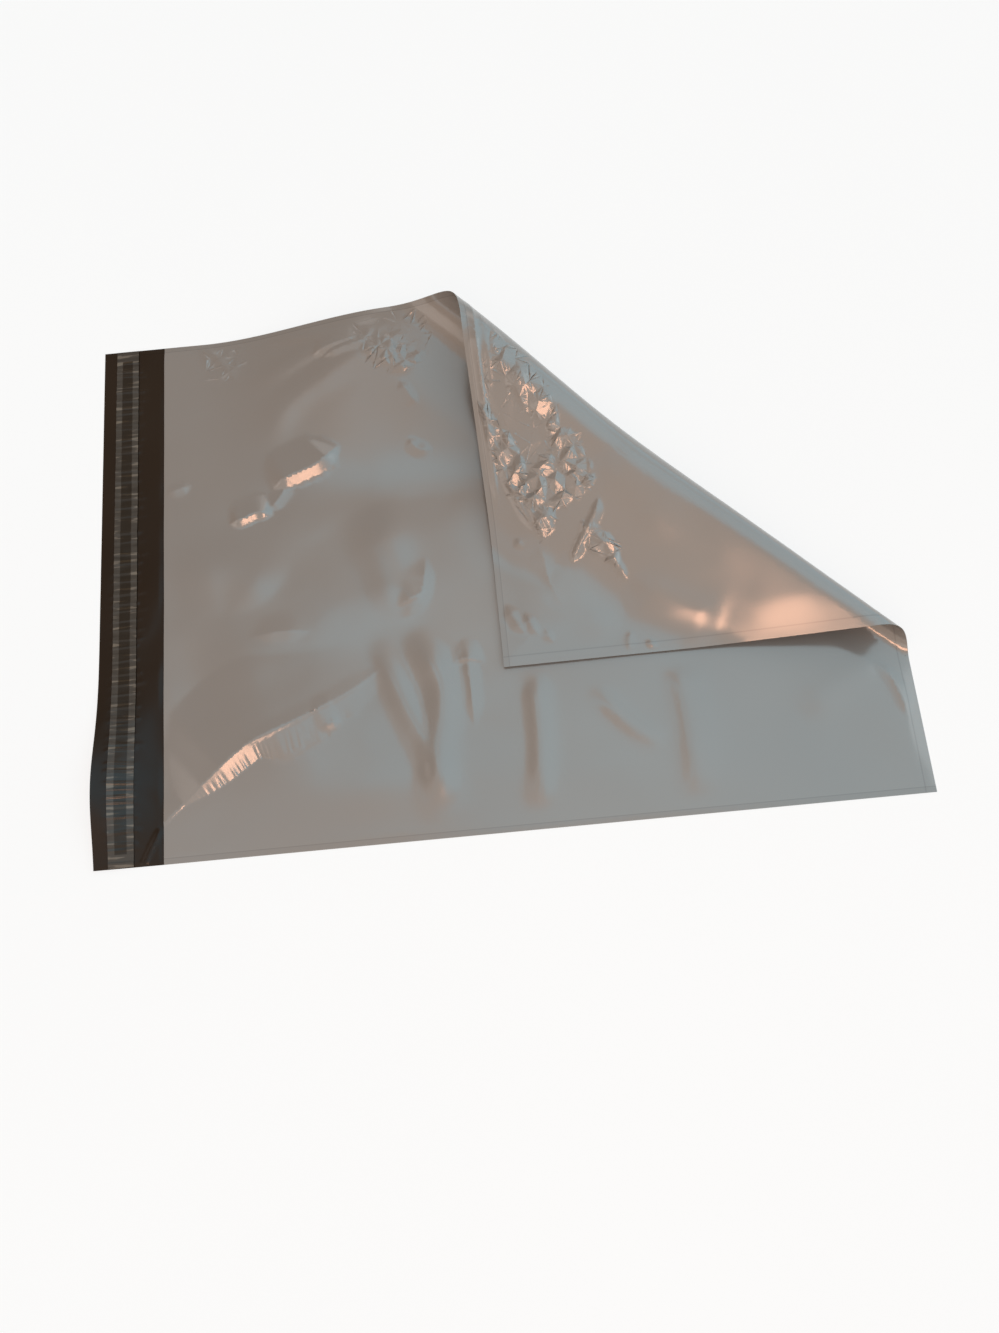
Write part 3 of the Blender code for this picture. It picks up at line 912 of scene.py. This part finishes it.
def ray_share(nodes, links, kinds):
    """1 for rays of these kinds, 0 for all others."""
    path = nodes.new("ShaderNodeLightPath")
    share = path.outputs[kinds[0]]
    for kind in kinds[1:]:
        share = calculate(nodes, links, "MAXIMUM", share, path.outputs[kind])
    return share


def film_material(name, dark, middle, light, roughness, metallic, specular):
    """Glossy film: slow uneven tone, faint haze, drawn lines along its length and pressed welds."""
    material, nodes, links, shader, place = new_material(name)
    slow = noise(nodes, links, place, 5.0, 2.0)
    tone = ramp(nodes, links, slow, [(0.35, dark), (0.5, middle), (0.65, light)])
    parts = nodes.new("ShaderNodeSeparateXYZ")
    links.new(place, parts.inputs[0])
    from_seam = from_nearer_seam(nodes, links, parts.outputs["Y"])
    from_bottom = calculate(nodes, links, "SUBTRACT", BODY_LENGTH, parts.outputs["X"])
    # ramps over the first centimetre from a seam and the first 17 mm from the bottom fold
    by_seam = calculate(nodes, links, "MULTIPLY", from_seam, 100.0)
    weld = ramp(nodes, links, by_seam, grey_stops(
        (0.0, 1.0), (0.06, 0.96), (0.36, 0.95), (0.40, 0.76), (0.46, 1.04), (0.52, 1.0)
    ))
    by_bottom = calculate(nodes, links, "MULTIPLY", from_bottom, 60.0)
    fold = ramp(nodes, links, by_bottom, grey_stops(
        (0.0, 1.02), (0.40, 1.0), (0.44, 0.80), (0.48, 1.0)
    ))
    pressed = multiply_colour(nodes, links, weld, fold)
    links.new(multiply_colour(nodes, links, tone, pressed), shader.inputs["Base Color"])
    haze = noise(nodes, links, place, 14.0, 2.0)
    links.new(spread(nodes, links, haze, 0.35, 0.65, *roughness), shader.inputs["Roughness"])
    drawn = nodes.new("ShaderNodeMapping")
    drawn.inputs["Scale"].default_value = (18.0, 520.0, 18.0)
    links.new(place, drawn.inputs["Vector"])
    lines = bump(nodes, links, noise(nodes, links, drawn.outputs[0], 1.0, 2.0), 0.000015, 0.5)
    grain = bump(nodes, links, noise(nodes, links, place, 1400.0, 2.0), 0.000008, 0.5, lines)
    links.new(grain, shader.inputs["Normal"])
    shader.inputs["Metallic"].default_value = metallic
    shader.inputs["Specular IOR Level"].default_value = specular
    shader.inputs["IOR"].default_value = FILM_IOR
    return material


def liner_material():
    """Smoky film with a darker middle, where the adhesive shows through it, and painted highlights
    and painted shade of its puckers in thin streaks across it.
    """
    material, nodes, links, shader, place = new_material("liner_smoke")
    parts = nodes.new("ShaderNodeSeparateXYZ")
    links.new(place, parts.inputs[0])
    inner_edge = LINER_OUTER_EDGE + LINER_WIDTH
    across = spread(nodes, links, parts.outputs["X"], LINER_OUTER_EDGE, inner_edge, 0.0, 1.0)
    border = (0.050, 0.044, 0.038)
    centre = (0.010, 0.007, 0.004)
    stops = [(0.0, border), (0.24, border), (0.28, centre), (0.71, centre), (0.75, border)]
    tone = ramp(nodes, links, across, stops)
    from_end = from_nearer_seam(nodes, links, parts.outputs["Y"])
    inside = spread(nodes, links, from_end, LINER_END, LINER_END + LINER_END_EDGE, 0.0, 1.0)
    ends = nodes.new("ShaderNodeMix")
    ends.data_type = "RGBA"
    ends.inputs["A"].default_value = (*border, 1.0)
    links.new(inside, ends.inputs["Factor"])
    links.new(tone, ends.inputs["B"])
    # thin streaks across the liner, painted into its colour: painted shade in the darker streaks and
    # painted highlights, some strongly bright like glints, in the light ones; the same streaks also
    # bump the surface
    streaks = nodes.new("ShaderNodeMapping")
    streaks.inputs["Scale"].default_value = (34.0, 330.0, 34.0)
    links.new(place, streaks.inputs["Vector"])
    lines = noise(nodes, links, streaks.outputs[0], 1.0, 3.0)
    plain = grey_stops((0.30, 0.62), (0.46, 0.95), (0.57, 1.05))
    bright = [(0.61, (2.5, 2.4, 2.3)), (0.66, (2.9, 2.8, 2.6))]
    light = ramp(nodes, links, lines, plain + bright)
    streaked = multiply_colour(nodes, links, ends.outputs["Result"], light)
    links.new(streaked, shader.inputs["Base Color"])
    haze = noise(nodes, links, place, 120.0)
    links.new(spread(nodes, links, haze, 0.35, 0.65, 0.14, 0.24), shader.inputs["Roughness"])
    links.new(bump(nodes, links, lines, 0.0003, 0.5), shader.inputs["Normal"])
    shader.inputs["IOR"].default_value = FILM_IOR
    return material


def adhesive_material():
    material, nodes, links, shader, place = new_material("hot_melt")
    tone = noise(nodes, links, place, 90.0)
    stops = [(0.35, (0.040, 0.030, 0.020)), (0.65, (0.062, 0.050, 0.034))]
    links.new(ramp(nodes, links, tone, stops), shader.inputs["Base Color"])
    links.new(spread(nodes, links, tone, 0.3, 0.7, 0.28, 0.42), shader.inputs["Roughness"])
    grain = bump(nodes, links, noise(nodes, links, place, 500.0), 0.00008, 0.6)
    links.new(grain, shader.inputs["Normal"])
    return material


def floor_material():
    material, nodes, links, shader, place = new_material("pale_floor")
    place = nodes["Texture Coordinate"].outputs["Object"]
    tone = noise(nodes, links, place, 2.0)
    stops = [(0.3, (0.86, 0.86, 0.86)), (0.7, (0.89, 0.89, 0.89))]
    links.new(ramp(nodes, links, tone, stops), shader.inputs["Base Color"])
    shader.inputs["Roughness"].default_value = 0.9
    shader.inputs["Specular IOR Level"].default_value = 0.2
    white = plain_white(nodes, "ShaderNodeEmission")
    seen = ray_share(nodes, links, ["Is Camera Ray", "Is Glossy Ray", "Is Transmission Ray"])
    seen = calculate(nodes, links, "MULTIPLY", seen, SEEN_WHITE)
    output = nodes["Material Output"].inputs[0]
    mix_shaders(nodes, links, seen, shader.outputs[0], white, output)
    return material


# Camera, light and floor


def make_camera():
    back = Vector((
        math.sin(CAMERA_TURN) * math.cos(CAMERA_RISE),
        -math.cos(CAMERA_TURN) * math.cos(CAMERA_RISE),
        math.sin(CAMERA_RISE),
    ))
    right = Vector((math.cos(CAMERA_TURN), math.sin(CAMERA_TURN), 0.0))
    up = back.cross(right)
    rolled_right = right * math.cos(CAMERA_ROLL) + up * math.sin(CAMERA_ROLL)
    rolled_up = up * math.cos(CAMERA_ROLL) - right * math.sin(CAMERA_ROLL)
    data = bpy.data.cameras.new("camera")
    data.lens = CAMERA_LENS
    data.sensor_width = 36.0
    data.sensor_fit = "AUTO"
    data.clip_start = 0.01
    data.clip_end = 50.0
    camera = add_object("camera", data)
    turn = Matrix((rolled_right, rolled_up, back)).transposed().to_4x4()
    camera.matrix_world = Matrix.Translation(CAMERA_TARGET + back * CAMERA_DISTANCE) @ turn
    bpy.context.scene.camera = camera


def make_lamp(name, place, size, power, colour):
    data = bpy.data.lights.new(name, "AREA")
    data.shape = "RECTANGLE"
    data.size, data.size_y = size
    data.energy = power
    data.color = colour
    lamp = add_object(name, data)
    lamp.location = place
    lamp.rotation_euler = (-Vector(place)).to_track_quat("-Z", "Y").to_euler()


def make_light():
    world = bpy.data.worlds.new("soft_room")
    bpy.context.scene.world = world
    world.use_nodes = True
    nodes = world.node_tree.nodes
    links = world.node_tree.links
    nodes.clear()
    output = nodes.new("ShaderNodeOutputWorld")
    room = nodes.new("ShaderNodeBackground")
    place = nodes.new("ShaderNodeTexCoord").outputs["Generated"]
    parts = nodes.new("ShaderNodeSeparateXYZ")
    links.new(place, parts.inputs[0])
    # warm walls on the left and behind, a cool window side on the right and in front
    from_front = calculate(nodes, links, "SUBTRACT", parts.outputs["Y"], 0.12)
    from_front = calculate(nodes, links, "ABSOLUTE", from_front, 0.0)
    cool = calculate(nodes, links, "MULTIPLY_ADD", parts.outputs["X"], 0.9)
    cool.node.inputs[2].default_value = 0.74
    less = calculate(nodes, links, "MULTIPLY", from_front, 0.9)
    cool = calculate(nodes, links, "SUBTRACT", cool, less)
    blotches = calculate(nodes, links, "MULTIPLY", noise(nodes, links, place, 4.2, 1.0), 1.3)
    cool = calculate(nodes, links, "SUBTRACT", calculate(nodes, links, "ADD", cool, blotches), 0.65)
    walls = ramp(nodes, links, cool, [
        (0.34, (0.88, 0.72, 0.60)),
        (0.48, (0.84, 0.78, 0.73)),
        (0.58, (0.80, 1.02, 1.12)),
        (0.85, (0.82, 1.16, 1.32)),
    ])
    # a dark corner on the far left, which the black lip and the front beside it mirror
    far_left = calculate(nodes, links, "SUBTRACT", parts.outputs["Y"], parts.outputs["X"])
    shade = ramp(nodes, links, far_left, [(0.42, (1.0, 1.0, 1.0)), (0.64, (0.58, 0.54, 0.50))])
    links.new(multiply_colour(nodes, links, walls, shade), room.inputs["Color"])
    room.inputs["Strength"].default_value = 1.0
    white = plain_white(nodes, "ShaderNodeBackground")
    # the film mirrors the room, and what is seen directly or through a piece is white
    seen = ray_share(nodes, links, ["Is Camera Ray", "Is Transmission Ray"])
    mix_shaders(nodes, links, seen, room.outputs[0], white, output.inputs[0])
    for name, (at, size, power, colour) in LAMPS.items():
        make_lamp(name, at, size, power, colour)


def make_floor():
    mesh = bpy.data.meshes.new("floor")
    ways = [(-1.0, -1.0), (1.0, -1.0), (1.0, 1.0), (-1.0, 1.0)]
    corners = [(x * FLOOR_REACH, y * FLOOR_REACH, 0.0) for x, y in ways]
    mesh.from_pydata(corners, [], [(0, 1, 2, 3)])
    mesh.materials.append(floor_material())
    floor = add_object("floor", mesh)
    floor.location.z = -FLOOR_DROP


# Pieces

GREY = film_material(
    "grey_film",
    (0.282, 0.266, 0.254),
    (0.292, 0.274, 0.261),
    (0.302, 0.282, 0.267),
    (0.16, 0.20),
    0.35,
    0.5,
)
INSIDE = film_material(
    "black_inside",
    (0.010, 0.005, 0.002),
    (0.014, 0.007, 0.003),
    (0.018, 0.010, 0.005),
    (0.20, 0.27),
    0.0,
    0.34,
)


def make_front():
    def fineness(u, v):
        # the streaked side of the long crease is the finest, and the part under the flap the coarsest
        distance = from_roll_start(u, v)[1]
        away, side, share = BODY_CREASES[0].measure(u, v)
        streaks = (side < 0.0) & (away < 0.018) & (share < 0.62)
        open_front = np.where(streaks, STREAK_STEP, OPEN_STEP)
        return np.where(distance > 4.0, HIDDEN_STEP, open_front)

    u, v, triangles = flat_mesh(0.0, BODY_LENGTH, BODY_CREASES, BODY_CRUMPLES, fineness, FRONT_SEED)
    edge = np.minimum(np.minimum(v, BODY_WIDTH - v), BODY_LENGTH - u)
    pocket = POCKET_GAP * smooth_step(edge, 0.0, SEAM_WIDTH)
    under = FILM_THICKNESS * 1.02 + pocket + front_height(u, v)
    over = under + FILM_THICKNESS
    piece = closed_sheet("front_panel", u, v, triangles, under, over, [GREY, INSIDE])
    paint(piece, len(triangles), 2 * len(triangles), 1)
    return piece


def make_back():
    def fineness(u, v):
        distance = from_roll_start(u, v)[1]
        body = np.where(u < 0.0, LIP_STEP, HIDDEN_STEP)
        return np.where(distance > -0.5, OPEN_STEP, body)

    u, v, triangles = flat_mesh(
        -LIP_LENGTH, BODY_LENGTH, CORNER_CREASES, CORNER_CRUMPLES, fineness, BACK_SEED
    )
    under = lip_height(u, v) - corner_height(u, v)
    over = under + FILM_THICKNESS
    piece = closed_sheet("back_panel", u, v, triangles, under, over, [GREY, INSIDE])
    paint(piece, 0, len(triangles), 1)
    return piece


STRIP_LENGTH = BODY_WIDTH - 2.0 * STRIP_END_MARGIN


def make_strip(name, outer_edge, width, under, thickness, material):
    count_u = int(width / STRIP_STEPS[0])
    count_v = int(STRIP_LENGTH / STRIP_STEPS[1])
    grid_u, grid_v = np.meshgrid(np.arange(count_u + 1), np.arange(count_v + 1), indexing="ij")
    u = (outer_edge + width * grid_u / count_u).ravel()
    v = (STRIP_END_MARGIN + STRIP_LENGTH * grid_v / count_v).ravel()
    index = grid_u * (count_v + 1) + grid_v
    a = index[:-1, :-1]
    b = index[1:, :-1]
    c = index[1:, 1:]
    d = index[:-1, 1:]
    triangles = np.concatenate([
        np.stack((a, b, c), axis=-1).reshape(-1, 3),
        np.stack((a, c, d), axis=-1).reshape(-1, 3),
    ])
    low = under + lip_height(u, v)
    return closed_sheet(name, u, v, triangles, low, low + thickness, [material])


def main():
    make_camera()
    make_light()
    make_floor()
    front = make_front()
    back = make_back()
    over_film = FILM_THICKNESS + TOUCH_GAP
    adhesive = make_strip(
        "adhesive_band",
        ADHESIVE_OUTER_EDGE,
        ADHESIVE_WIDTH,
        over_film,
        ADHESIVE_THICKNESS,
        adhesive_material(),
    )
    over_adhesive = over_film + ADHESIVE_THICKNESS + TOUCH_GAP
    liner = make_strip(
        "liner_band",
        LINER_OUTER_EDGE,
        LINER_WIDTH,
        over_adhesive,
        LINER_THICKNESS,
        liner_material(),
    )
    rows = [
        (front, "mailer_film", "grey_film", (BODY_WIDTH, BODY_LENGTH), ["back_panel"]),
        (back, "mailer_film", "grey_film", (BODY_WIDTH, BODY_LENGTH + LIP_LENGTH), []),
        (adhesive, "adhesive_strip", "adhesive", (ADHESIVE_WIDTH, STRIP_LENGTH), ["back_panel"]),
        (liner, "release_liner", "liner_film", (LINER_WIDTH, STRIP_LENGTH), ["adhesive_band"]),
    ]
    for piece, node, slot, flat, rests_on in rows:
        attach(piece, "root")
        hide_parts(node)
    bpy.context.scene.view_settings.view_transform = "Standard"


main()
